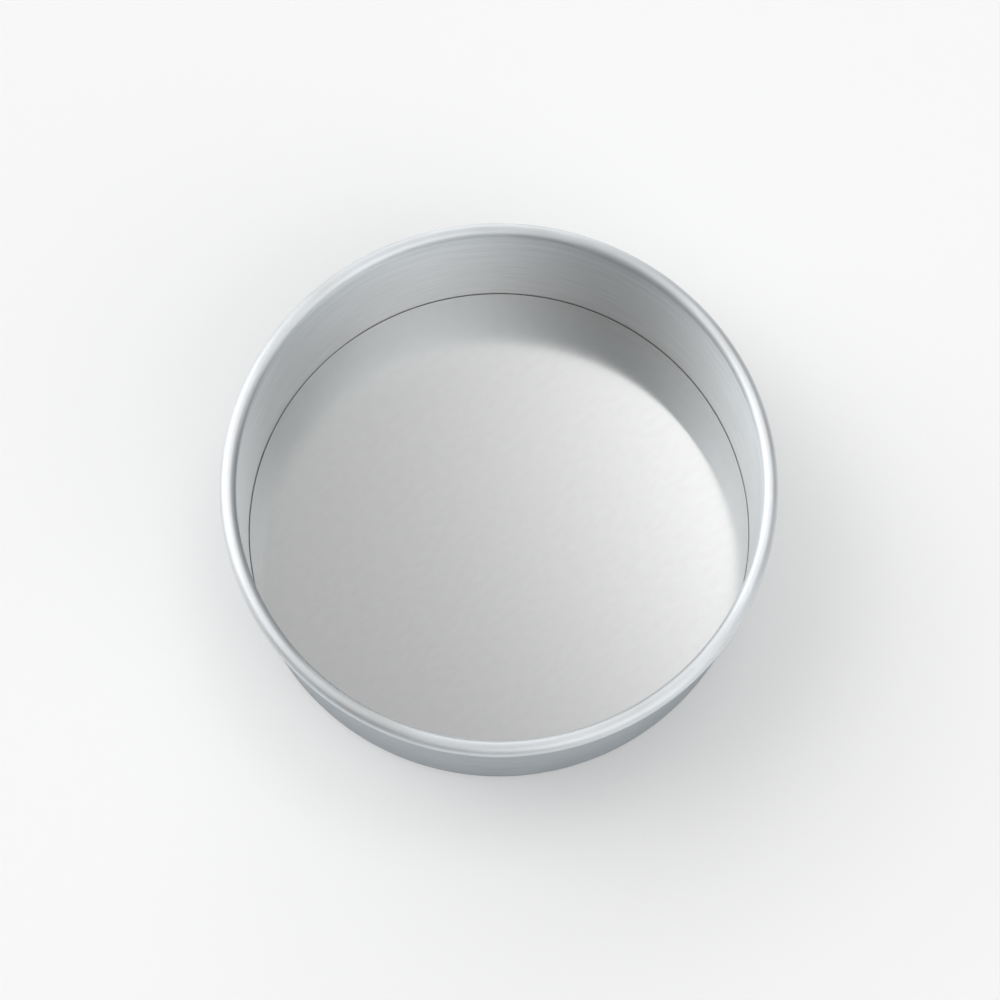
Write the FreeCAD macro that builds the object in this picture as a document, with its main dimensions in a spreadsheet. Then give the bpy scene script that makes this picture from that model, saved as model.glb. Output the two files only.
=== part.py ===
# Round cake tin with a loose base. One drawn aluminium sheet makes the side: a straight wall with a
# hollow rolled rim at the top and an in-turned ledge at the bottom. A flat disc rests on the ledge
# and lifts out. Millimetres, +Z up; the origin is on the tin's axis at the level it stands on.
import FreeCAD
import Part
import Sketcher
import math
import os

# Driving sizes, each with what it measures on the tin
SIZES = [
    ("inner_diameter", 230.0, "across the inside of the wall"),
    ("tin_height", 75.0, "from the table to the top of the rolled rim"),
    ("side_gauge", 1.0, "sheet that the side is drawn from"),
    ("rim_diameter", 7.0, "outside of the rolled rim's round section"),
    ("rim_gap", 0.4, "left between the rolled-in edge and the outside of the wall"),
    ("heel_radius", 0.3, "inside of the bend from the wall to the ledge"),
    ("ledge_width", 8.0, "from the inside of the wall to the ledge's free edge"),
    ("ledge_round_share", 0.3, "rounding of the ledge's free edge, of side_gauge"),
    ("base_gauge", 1.5, "sheet that the loose base is cut from"),
    ("base_clearance", 0.2, "from the base's edge to the inside of the wall"),
    ("base_round_share", 0.2, "rounding that blanking leaves on the base's top edge, of base_gauge"),
]

FULL_TURN = 360


def size_sheet(doc):
    """Write the driving sizes into a spreadsheet, one row each: name, number, meaning."""
    sheet = doc.addObject("Spreadsheet::Sheet", "Sizes")
    for row, (name, number, meaning) in enumerate(SIZES, start=1):
        sheet.set(f"A{row}", name)
        sheet.set(f"B{row}", str(number))
        sheet.set(f"C{row}", meaning)
        sheet.setAlias(f"B{row}", name)
    doc.recompute()
    return sheet


def new_sketch(body, name, plane_role):
    """Add a sketch to the body, flat on one of the body's own origin planes."""
    planes = {feature.Role: feature for feature in body.Origin.OriginFeatures}
    sketch = body.newObject("Sketcher::SketchObject", name)
    sketch.AttachmentSupport = [(planes[plane_role], "")]
    sketch.MapMode = "FlatFace"
    return sketch


def add_line(sketch, start, end):
    points = [FreeCAD.Vector(x, y, 0) for x, y in (start, end)]
    return sketch.addGeometry(Part.LineSegment(*points))


def add_arc(sketch, centre, radius, first, last):
    """Add an arc that runs anticlockwise from the first angle to the last, in radians."""
    circle = Part.Circle(FreeCAD.Vector(*centre, 0), FreeCAD.Vector(0, 0, 1), radius)
    return sketch.addGeometry(Part.ArcOfCircle(circle, first, last))


def relate(sketch, kind, *where):
    sketch.addConstraint(Sketcher.Constraint(kind, *where))


def drive(sketch, name, expression, kind, *where):
    """Add a dimension, drawn at its present value, and bind it to the size sheet."""
    index = sketch.addConstraint(Sketcher.Constraint(kind, *where))
    sketch.renameConstraint(index, name)
    sketch.setExpression("Constraints." + name, expression)


def rings(feature, radius, height=None):
    """Names of the feature's circular edges of this radius, at this height if one is given."""
    found = []
    for number, edge in enumerate(feature.Shape.Edges, start=1):
        if not isinstance(edge.Curve, Part.Circle):
            continue
        level = edge.Curve.Center.z
        at_height = height is None or math.isclose(level, height, rel_tol=1e-6)
        if at_height and math.isclose(edge.Curve.Radius, radius, rel_tol=1e-6):
            found.append(f"Edge{number}")
    return found


def side_section(body, sheet):
    """Draw the side sheet's section, from the ledge round the heel and up the wall into the rim."""
    sketch = new_sketch(body, "side_section", "XZ_Plane")
    wall = sheet.inner_diameter / 2
    gauge = sheet.side_gauge
    outside = wall + gauge
    ledge_edge = wall - sheet.ledge_width
    heel = sheet.heel_radius
    heel_centre = (wall - heel, gauge + heel)
    roll = sheet.rim_diameter / 2
    roll_level = sheet.tin_height - roll
    roll_centre = (wall + roll, roll_level)
    # The sheet rolls outwards over the top and stops short of the wall that it came from
    roll_end = -math.acos((gauge + sheet.rim_gap) / roll - 1)
    end_way = (math.cos(roll_end), math.sin(roll_end))
    tip_inside, tip_outside = [
        (roll_centre[0] + reach * end_way[0], roll_centre[1] + reach * end_way[1]) for reach in (roll - gauge, roll)
    ]
    down = -math.pi / 2

    under = add_line(sketch, (ledge_edge, 0), (heel_centre[0], 0))
    heel_out = add_arc(sketch, heel_centre, heel + gauge, down, 0)
    wall_out = add_line(sketch, (outside, heel_centre[1]), (outside, roll_level))
    roll_in = add_arc(sketch, roll_centre, roll - gauge, roll_end, math.pi)
    tip = add_line(sketch, tip_inside, tip_outside)
    roll_out = add_arc(sketch, roll_centre, roll, roll_end, math.pi)
    wall_in = add_line(sketch, (wall, roll_level), (wall, heel_centre[1]))
    heel_in = add_arc(sketch, heel_centre, heel, down, 0)
    ledge_top = add_line(sketch, (heel_centre[0], gauge), (ledge_edge, gauge))
    free_edge = add_line(sketch, (ledge_edge, gauge), (ledge_edge, 0))

    # Ends are numbered 1 for the start, 2 for the end and 3 for an arc's centre
    start, end, centre = 1, 2, 3
    x_axis, origin = -1, (-1, 1)
    relate(sketch, "Tangent", under, end, heel_out, start)
    relate(sketch, "Tangent", heel_out, end, wall_out, start)
    relate(sketch, "Tangent", wall_out, end, roll_in, end)
    relate(sketch, "Perpendicular", roll_in, start, tip, start)
    relate(sketch, "Coincident", tip, end, roll_out, start)
    relate(sketch, "Tangent", roll_out, end, wall_in, start)
    relate(sketch, "Tangent", wall_in, end, heel_in, end)
    relate(sketch, "Tangent", heel_in, start, ledge_top, start)
    relate(sketch, "Coincident", ledge_top, end, free_edge, start)
    relate(sketch, "Coincident", free_edge, end, under, start)
    relate(sketch, "Coincident", roll_in, centre, roll_out, centre)
    relate(sketch, "Coincident", heel_in, centre, heel_out, centre)
    relate(sketch, "PointOnObject", under, start, x_axis)
    for level_line in (under, ledge_top):
        relate(sketch, "Horizontal", level_line)
    for upright_line in (wall_in, wall_out, free_edge):
        relate(sketch, "Vertical", upright_line)

    drive(sketch, "inside", "Sizes.inner_diameter / 2", "DistanceX", *origin, wall_in, start, wall)
    drive(sketch, "gauge", "Sizes.side_gauge", "DistanceX", wall_in, start, wall_out, end, gauge)
    drive(sketch, "heel", "Sizes.heel_radius", "Radius", heel_in, heel)
    drive(sketch, "ledge", "Sizes.ledge_width", "DistanceX", free_edge, start, wall_in, end, sheet.ledge_width)
    drive(sketch, "roll", "Sizes.rim_diameter / 2", "Radius", roll_out, roll)
    drive(
        sketch, "roll_level", "Sizes.tin_height - Sizes.rim_diameter / 2",
        "DistanceY", *origin, roll_out, centre, roll_level,
    )
    drive(
        sketch, "tuck", "Sizes.side_gauge + Sizes.rim_gap",
        "DistanceX", wall_in, start, roll_out, start, gauge + sheet.rim_gap,
    )
    return sketch


def build_side(doc, sheet):
    """The side: its section turned right round the tin's axis, with the ledge's cut edge rounded."""
    body = doc.addObject("PartDesign::Body", "side_wall")
    section = side_section(body, sheet)
    turned = body.newObject("PartDesign::Revolution", "side_turned")
    turned.Profile = section
    turned.ReferenceAxis = (section, ["V_Axis"])
    turned.Angle = FULL_TURN
    doc.recompute()
    rounded = body.newObject("PartDesign::Fillet", "ledge_rounded")
    rounded.Base = (turned, rings(turned, sheet.inner_diameter / 2 - sheet.ledge_width))
    rounded.setExpression("Radius", "Sizes.side_gauge * Sizes.ledge_round_share")
    section.Visibility = False
    return body


def build_base(doc, sheet):
    """The loose base: a disc blanked from sheet, bevelled below to pass the heel and lie on the ledge."""
    body = doc.addObject("PartDesign::Body", "loose_base")
    radius = sheet.inner_diameter / 2 - sheet.base_clearance
    outline = new_sketch(body, "base_outline", "XY_Plane")
    outline.setExpression(".AttachmentOffset.Base.z", "Sizes.side_gauge")
    axis = FreeCAD.Vector(0, 0, 1)
    disc = outline.addGeometry(Part.Circle(FreeCAD.Vector(0, 0, 0), axis, radius))
    origin, centre = (-1, 1), 3
    relate(outline, "Coincident", disc, centre, *origin)
    drive(outline, "edge", "Sizes.inner_diameter / 2 - Sizes.base_clearance", "Radius", disc, radius)
    blank = body.newObject("PartDesign::Pad", "base_blank")
    blank.Profile = outline
    blank.setExpression("Length", "Sizes.base_gauge")
    doc.recompute()
    rolled = body.newObject("PartDesign::Fillet", "base_edge_rounded")
    rolled.Base = (blank, rings(blank, radius, sheet.side_gauge + sheet.base_gauge))
    rolled.setExpression("Radius", "Sizes.base_gauge * Sizes.base_round_share")
    doc.recompute()
    bevelled = body.newObject("PartDesign::Chamfer", "base_edge_bevelled")
    bevelled.Base = (rolled, rings(rolled, radius, sheet.side_gauge))
    bevelled.setExpression("Size", "Sizes.heel_radius")
    outline.Visibility = False
    return body


def check_built(doc, bodies):
    """Stop with a message if any object failed to build or any piece isn't one valid solid."""
    for item in doc.Objects:
        if {"Invalid", "Error"} & set(item.State):
            raise RuntimeError(f"{item.Name} did not build: {item.State}")
    for body in bodies:
        if body.Shape.isNull() or not body.Shape.isValid() or len(body.Shape.Solids) != 1:
            raise RuntimeError(f"{body.Label} is not one valid solid")


doc = FreeCAD.newDocument("round_cake_tin")
sheet = size_sheet(doc)
bodies = [build_side(doc, sheet), build_base(doc, sheet)]
doc.recompute()
check_built(doc, bodies)
os.makedirs("parts", exist_ok=True)
for body in bodies:
    body.Shape.exportStep(f"parts/{body.Label}.step")
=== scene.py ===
# Round cake tin with a loose base, in satin aluminium. Metres, in the CAD model's frame.
import bmesh
import bpy
import math
from mathutils import Matrix, Vector


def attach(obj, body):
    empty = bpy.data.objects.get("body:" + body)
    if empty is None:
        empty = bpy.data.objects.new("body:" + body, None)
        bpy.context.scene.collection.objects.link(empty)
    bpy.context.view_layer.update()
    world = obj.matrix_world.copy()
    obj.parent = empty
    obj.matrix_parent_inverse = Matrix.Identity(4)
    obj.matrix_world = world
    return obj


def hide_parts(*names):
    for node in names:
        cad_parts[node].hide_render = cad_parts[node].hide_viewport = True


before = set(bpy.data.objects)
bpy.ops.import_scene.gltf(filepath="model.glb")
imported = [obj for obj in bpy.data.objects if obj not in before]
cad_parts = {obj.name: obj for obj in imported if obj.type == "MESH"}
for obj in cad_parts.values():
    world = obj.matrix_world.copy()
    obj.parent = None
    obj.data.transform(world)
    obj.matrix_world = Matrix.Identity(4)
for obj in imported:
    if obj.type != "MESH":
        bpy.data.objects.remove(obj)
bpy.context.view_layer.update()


# Side of the tin: one spun aluminium sheet, with a ledge turned inwards and a rim rolled outwards
MM = 0.001
WALL_RADIUS = 115 * MM
TIN_HEIGHT = 75 * MM
SIDE_GAUGE = 1.0 * MM
RIM_RADIUS = 3.5 * MM
RIM_GAP = 0.4 * MM
HEEL_RADIUS = 0.3 * MM
LEDGE_WIDTH = 8 * MM
TURN_STEPS = 288
HEEL_STEPS = 6
WALL_STEPS = 16
ROLL_STEPS = 44
SAME_POINT = 0.001 * MM


def new_section(start):
    """Start the section of a turned piece at a point in the XZ plane. Return its mesh and its tip."""
    bm = bmesh.new()
    bm.verts.layers.float.new("along")
    return bm, bm.verts.new(start)


def draw_on(bm, tip, step):
    """Draw the section on from its tip by a straight step, and return the new tip."""
    along = bm.verts.layers.float["along"]
    drawn = bmesh.ops.extrude_vert_indiv(bm, verts=[tip])["verts"]
    bmesh.ops.translate(bm, verts=drawn, vec=step)
    drawn[0][along] = tip[along] + Vector(step).length
    return drawn[0]


def bend_on(bm, tip, centre, angle, steps):
    """Draw the section on from its tip round a bend in the XZ plane, and return the new tip."""
    arm = tip.co - Vector(centre)
    for step in range(steps):
        turned = Matrix.Rotation(angle / steps, 3, "Y") @ arm
        tip = draw_on(bm, tip, turned - arm)
        arm = turned
    return tip


def turn_round_axis(bm):
    """Turn the drawn section right round the tin's axis, and make its faces agree on one side."""
    bmesh.ops.spin(
        bm, geom=bm.verts[:] + bm.edges[:], cent=(0, 0, 0), axis=(0, 0, 1), dvec=(0, 0, 0),
        angle=2 * math.pi, steps=TURN_STEPS, use_merge=True, use_duplicate=False,
    )
    bmesh.ops.remove_doubles(bm, verts=bm.verts[:], dist=SAME_POINT)
    bmesh.ops.recalc_face_normals(bm, faces=bm.faces[:])


def new_piece(bm, name):
    """Put the finished mesh on an object of its own, smooth-shaded, and return the object."""
    for face in bm.faces:
        face.smooth = True
    mesh = bpy.data.meshes.new(name)
    bm.to_mesh(mesh)
    bm.free()
    piece = bpy.data.objects.new(name, mesh)
    bpy.context.scene.collection.objects.link(piece)
    return piece


# The section follows the middle of the sheet, from the ledge's free edge to the rolled-in edge
heel_centre = Vector((WALL_RADIUS - HEEL_RADIUS, 0, SIDE_GAUGE + HEEL_RADIUS))
roll_centre = Vector((WALL_RADIUS + RIM_RADIUS, 0, TIN_HEIGHT - RIM_RADIUS))
roll_turn = math.pi + math.acos((SIDE_GAUGE + RIM_GAP) / RIM_RADIUS - 1)

bm, tip = new_section((WALL_RADIUS - LEDGE_WIDTH, 0, SIDE_GAUGE / 2))
tip = draw_on(bm, tip, (LEDGE_WIDTH - HEEL_RADIUS, 0, 0))
tip = bend_on(bm, tip, heel_centre, -math.pi / 2, HEEL_STEPS)
for step in range(WALL_STEPS):
    tip = draw_on(bm, tip, (0, 0, (roll_centre.z - heel_centre.z) / WALL_STEPS))
bend_on(bm, tip, roll_centre, roll_turn, ROLL_STEPS)
turn_round_axis(bm)

# A UV map in metres, along the section and round the axis, gives the direction of the spun lines
along = bm.verts.layers.float["along"]
uv = bm.loops.layers.uv.new("spinning")
for face in bm.faces:
    middle = face.calc_center_median().xy
    facing = math.atan2(middle.y, middle.x)
    for loop in face.loops:
        turn = facing - loop.vert.co.xy.angle_signed(middle)
        loop[uv].uv = (loop.vert[along], turn * WALL_RADIUS)
side = new_piece(bm, "tin_side")

# The sheet gets its gauge, and its two cut edges are rounded
EDGE_ROUNDING = 0.25 * MM
EDGE_STEPS = 3
SHARP_EDGE = math.radians(50)
sheet = side.modifiers.new("sheet", "SOLIDIFY")
sheet.thickness = SIDE_GAUGE
sheet.offset = 0
sheet.use_even_offset = True
deburr = side.modifiers.new("deburred_edges", "BEVEL")
deburr.width = EDGE_ROUNDING
deburr.segments = EDGE_STEPS
deburr.limit_method = "ANGLE"
deburr.angle_limit = SHARP_EDGE


def add_node(tree, kind, settings=None, **inputs):
    """Add a shader node. Its inputs are values or sockets, named after the node's own sockets with
    _ for a space, or i0, i1 and so on by place."""
    node = tree.nodes.new(kind)
    for name, value in (settings or {}).items():
        setattr(node, name, value)
    for name, value in inputs.items():
        by_place = name[1:].isdigit()
        socket = node.inputs[int(name[1:]) if by_place else name.replace("_", " ")]
        if isinstance(value, bpy.types.NodeSocket):
            tree.links.new(value, socket)
        else:
            socket.default_value = value
    return node


def calculate(tree, operation, *values):
    """Do a sum with values or sockets, and return the socket of its result."""
    inputs = {f"i{place}": value for place, value in enumerate(values)}
    return add_node(tree, "ShaderNodeMath", {"operation": operation}, **inputs).outputs[0]


def ramp(tree, value, start, end, low, high):
    """A number that goes from low to high while the value goes from start to end, level beyond them."""
    limits = {"From_Min": start, "From_Max": end, "To_Min": low, "To_Max": high}
    return add_node(tree, "ShaderNodeMapRange", Value=value, **limits).outputs["Result"]


def stretched_noise(tree, coordinates, scales, detail):
    """Noise over the coordinates, with its own number of cells to the metre along each of them."""
    place = add_node(tree, "ShaderNodeVectorMath", {"operation": "MULTIPLY"}, i0=coordinates, i1=scales)
    noise = add_node(tree, "ShaderNodeTexNoise", Vector=place.outputs[0], Scale=1, Detail=detail)
    return noise.outputs["Fac"]


def spread_between(tree, noise, low, high):
    """Turn noise, most of which lies between its own two limits, into a number between two others."""
    noise_low = 0.3
    noise_high = 0.7
    return ramp(tree, noise, noise_low, noise_high, low, high)


def tinted_by(tree, tone, dark_end, pale_end):
    """Turn a tone into a colour: the dark end at 0, the pale end at 1, and further the same way past
    them.
    """
    settings = {"data_type": "RGBA", "clamp_factor": False}
    # Among the mixing node's sockets, the colours are inputs 6 and 7 and the mixed colour is output 2
    mixed = add_node(tree, "ShaderNodeMix", settings, i0=tone, i6=(*dark_end, 1), i7=(*pale_end, 1))
    return mixed.outputs[2]


def new_metal(name, uv_name, anisotropy):
    """Start a metal whose gloss spreads along the UV map's first direction, across the finish's lines."""
    metal = bpy.data.materials.new(name)
    metal.use_nodes = True
    tree = metal.node_tree
    shader = tree.nodes["Principled BSDF"]
    shader.inputs["Metallic"].default_value = 1
    shader.inputs["Anisotropic"].default_value = anisotropy
    spread = add_node(tree, "ShaderNodeTangent", {"direction_type": "UV_MAP", "uv_map": uv_name})
    tree.links.new(spread.outputs["Tangent"], shader.inputs["Tangent"])
    return metal, tree, shader


# Finish of the side, with its painted shade: noise scales are cells to the metre along X, Y and Z, so the
# lines run level
SPUN_ANISOTROPY = 0.8
LINE_SCALES = (45, 45, 700)
LINE_TONES = (0.22, 0.78)
LINE_ROUGHNESS = (0.315, 0.345)
LINE_DEPTH = 0.02 * MM
LINE_STRENGTH = 0.05
RIPPLE_PITCH = 8 * MM
RIPPLE_REACH = 3 * RIPPLE_PITCH
RIPPLE_SHADING = 0.15
RIPPLE_UNEVEN_SCALES = (26, 26, 120)
RIPPLE_UNEVEN_LIMITS = (0.2, 1.8)
HEIGHT_SHADING_RANGE = 0.55
ROUGHER_AT_RIM = 0.07
RIM_FOOT = TIN_HEIGHT - 2 * RIM_RADIUS


def spun_metal(name, dark_end, pale_end, grazing):
    """Aluminium with fine lines spun round it. It has painted shade that darkens it towards the bottom,
    and painted light and shade of ripples below the rim.
    """
    metal, tree, shader = new_metal(name, "spinning", SPUN_ANISOTROPY)
    shader.inputs["Specular Tint"].default_value = (*grazing, 1)
    place = add_node(tree, "ShaderNodeTexCoord").outputs["Object"]
    height = add_node(tree, "ShaderNodeSeparateXYZ", Vector=place).outputs["Z"]

    # Painted light and shade of ripples a pitch apart, dark at the foot of the rim, uneven round the tin
    # and fading downwards; the sheet itself is not rippled
    per_metre = 2 * math.pi / RIPPLE_PITCH
    dark_at_foot = -per_metre * RIM_FOOT - math.pi / 2
    ripple = calculate(tree, "SINE", calculate(tree, "MULTIPLY_ADD", height, per_metre, dark_at_foot))
    unevenness = spread_between(tree, stretched_noise(tree, place, RIPPLE_UNEVEN_SCALES, detail=2), *RIPPLE_UNEVEN_LIMITS)
    fading = ramp(tree, height, RIM_FOOT - RIPPLE_REACH, RIM_FOOT, 0, RIPPLE_SHADING)
    depth = calculate(tree, "MULTIPLY", unevenness, fading)

    lines = stretched_noise(tree, place, LINE_SCALES, detail=3)
    lines_and_ripple_shading = calculate(tree, "MULTIPLY_ADD", ripple, depth, spread_between(tree, lines, *LINE_TONES))
    # Painted shade: the tone is darker towards the bottom of the wall, where less light reaches it
    height_shading = ramp(tree, height, 0, RIM_FOOT, 0, HEIGHT_SHADING_RANGE)
    tone = calculate(tree, "ADD", lines_and_ripple_shading, height_shading)
    tree.links.new(tinted_by(tree, tone, dark_end, pale_end), shader.inputs["Base Color"])

    # Rolling stretched the sheet, so the rim is rougher than the wall
    rim_start = RIM_FOOT - 0.2 * RIM_RADIUS
    stretch = ramp(tree, height, rim_start, TIN_HEIGHT - RIM_RADIUS, 0, ROUGHER_AT_RIM)
    roughness = calculate(tree, "ADD", spread_between(tree, lines, *LINE_ROUGHNESS), stretch)
    tree.links.new(roughness, shader.inputs["Roughness"])
    scored = add_node(tree, "ShaderNodeBump", Height=lines, Strength=LINE_STRENGTH, Distance=LINE_DEPTH)
    tree.links.new(scored.outputs["Normal"], shader.inputs["Normal"])
    return metal


# The skin that lay on the former goes on over the rim. The outer skin is a darker copy of it, painted
# shade for the shadowed floor that the outer wall mirrors
former_skin = spun_metal(
    "former_skin",
    dark_end=(0.59, 0.584, 0.575),
    pale_end=(0.732, 0.758, 0.776),
    grazing=(0.68, 0.69, 0.69),
)
# Painted shade: darker colours and a darker grazing tint than the inner skin, on the outside of the wall
outer_shaded_skin = spun_metal(
    "outer_shaded_skin",
    dark_end=(0.53, 0.556, 0.572),
    pale_end=(0.68, 0.707, 0.724),
    grazing=(0.45, 0.49, 0.52),
)
side.data.materials.append(former_skin)
side.data.materials.append(outer_shaded_skin)
# The sheet's second skin takes the next material
sheet.material_offset = 1
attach(side, "side")
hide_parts("side_wall")


# Loose base: a flat disc of rolled aluminium sheet, lying free on the ledge with a small gap all round
BASE_GAUGE = 1.5 * MM
BASE_CLEARANCE = 0.2 * MM
BASE_ROUNDING = 0.2 * BASE_GAUGE
ROUNDING_STEPS = 8
ROLLING_DIRECTION = math.radians(39)
base_radius = WALL_RADIUS - BASE_CLEARANCE
base_top = SIDE_GAUGE + BASE_GAUGE
rounding_centre = (base_radius - BASE_ROUNDING, 0, base_top - BASE_ROUNDING)

# Blanking rounded the disc's upper edge, and its lower edge is bevelled to pass the heel's bend
bm, tip = new_section((0, 0, base_top))
tip = draw_on(bm, tip, (base_radius - 2 * BASE_ROUNDING, 0, 0))
tip = draw_on(bm, tip, (BASE_ROUNDING, 0, 0))
tip = bend_on(bm, tip, rounding_centre, math.pi / 2, ROUNDING_STEPS)
tip = draw_on(bm, tip, (0, 0, BASE_ROUNDING + HEEL_RADIUS - BASE_GAUGE))
tip = draw_on(bm, tip, (-HEEL_RADIUS, 0, -HEEL_RADIUS))
tip = draw_on(bm, tip, (-BASE_ROUNDING, 0, 0))
draw_on(bm, tip, (HEEL_RADIUS + BASE_ROUNDING - base_radius, 0, 0))
turn_round_axis(bm)

# The sheet was rolled in one direction before the disc was cut, so its UV map runs across and along that
unrolled = Matrix.Rotation(math.pi / 2 - ROLLING_DIRECTION, 3, "Z")
uv = bm.loops.layers.uv.new("rolling")
for face in bm.faces:
    for loop in face.loops:
        loop[uv].uv = (unrolled @ loop.vert.co).xy
base = new_piece(bm, "tin_base")

# Finish of the base: noise scales are cells to the metre across and along the rolling
ROLLED_ANISOTROPY = 1.0
GRAIN_SCALES = (900, 40, 1)
GRAIN_ROUGHNESS = (0.10, 0.115)
PATCH_SCALES = (300, 160, 1)
PATCH_DULL = (0.677, 0.682, 0.68)
PATCH_CLEAN = (0.729, 0.734, 0.732)
base_metal, tree, shader = new_metal("rolled_aluminium", "rolling", ROLLED_ANISOTROPY)
place = add_node(tree, "ShaderNodeUVMap", {"uv_map": "rolling"}).outputs["UV"]
grain = stretched_noise(tree, place, GRAIN_SCALES, detail=3)
patches = stretched_noise(tree, place, PATCH_SCALES, detail=5)
tree.links.new(tinted_by(tree, patches, PATCH_DULL, PATCH_CLEAN), shader.inputs["Base Color"])
tree.links.new(spread_between(tree, grain, *GRAIN_ROUGHNESS), shader.inputs["Roughness"])
base.data.materials.append(base_metal)
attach(base, "base")
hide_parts("loose_base")


# Studio: a pale level floor that the tin stands on, and soft panels of light round it on a dim sky
FLOOR_SIZE = 40
FLOOR_COLOUR = (0.95, 0.95, 0.95, 1)
bm = bmesh.new()
bmesh.ops.create_grid(bm, x_segments=1, y_segments=1, size=FLOOR_SIZE / 2)
floor = new_piece(bm, "studio_floor")
floor_paint = bpy.data.materials.new("pale_floor")
floor_paint.use_nodes = True
shader = floor_paint.node_tree.nodes["Principled BSDF"]
shader.inputs["Base Color"].default_value = FLOOR_COLOUR
shader.inputs["Roughness"].default_value = 1
shader.inputs["Specular IOR Level"].default_value = 0
floor.data.materials.append(floor_paint)

# Each panel, in degrees: azimuth anticlockwise from the right, elevation, half-width; then its brightness
SKY_GLOW = 0.2
PANELS = [
    (150, 30, 24, 2.0),  # key light, wide, behind on the left
    (170, 56, 15, 1.5),  # above the key light, seen in the right of the wall
    (330, 30, 24, 1.0),  # fill, wide, in front on the right
    (290, 56, 20, 1.25),  # high in front, for the front of the rim
    (45, 66, 9, 2.2),  # high behind on the right, so that the base is paler on that side
    (67, 66, 9, 0.8),  # beside it, seen in the middle of the base
    (90, 15, 20, 1.6),  # low behind, for the back of the rim and of the wall
]
world = bpy.data.worlds.new("studio")
bpy.context.scene.world = world
world.use_nodes = True
tree = world.node_tree
direction = add_node(tree, "ShaderNodeTexCoord").outputs["Generated"]
dot_product = {"operation": "DOT_PRODUCT"}
glow = SKY_GLOW
for azimuth, elevation, half_width, brightness in PANELS:
    raised = Matrix.Rotation(math.radians(-elevation), 3, "Y")
    turned = Matrix.Rotation(math.radians(azimuth), 3, "Z")
    middle = turned @ raised @ Vector((1, 0, 0))
    # At its half-width from the middle a panel is half as bright
    falloff = math.log(2) / (1 - math.cos(math.radians(half_width)))
    nearness = add_node(tree, "ShaderNodeVectorMath", dot_product, i0=direction, i1=middle)
    faded = calculate(tree, "MULTIPLY_ADD", nearness.outputs["Value"], falloff, -falloff)
    panel = calculate(tree, "EXPONENT", faded)
    glow = calculate(tree, "MULTIPLY_ADD", panel, brightness, glow)
background = tree.nodes["Background"]
background.inputs["Color"].default_value = (1, 1, 1, 1)
tree.links.new(glow, background.inputs["Strength"])


# Camera: above the tin and a little in front of it, as in the photograph
CAMERA_LENS = 105.26
CAMERA_SENSOR = 36
CAMERA_DISTANCE = 1.27627
CAMERA_ELEVATION = math.radians(73.06)
AIM_TO_RIGHT = 0.45 * MM
AIM_TO_FRONT = 7.81 * MM
aim = Vector((AIM_TO_RIGHT, -AIM_TO_FRONT, TIN_HEIGHT - RIM_RADIUS))
back = Vector((0, -math.cos(CAMERA_ELEVATION), math.sin(CAMERA_ELEVATION)))
camera_data = bpy.data.cameras.new("camera")
camera_data.lens = CAMERA_LENS
camera_data.sensor_width = CAMERA_SENSOR
camera = bpy.data.objects.new("camera", camera_data)
bpy.context.scene.collection.objects.link(camera)
camera.location = aim + back * CAMERA_DISTANCE
camera.rotation_mode = "QUATERNION"
camera.rotation_quaternion = (-back).to_track_quat("-Z", "Y")
bpy.context.scene.camera = camera
bpy.context.scene.view_settings.view_transform = "Standard"
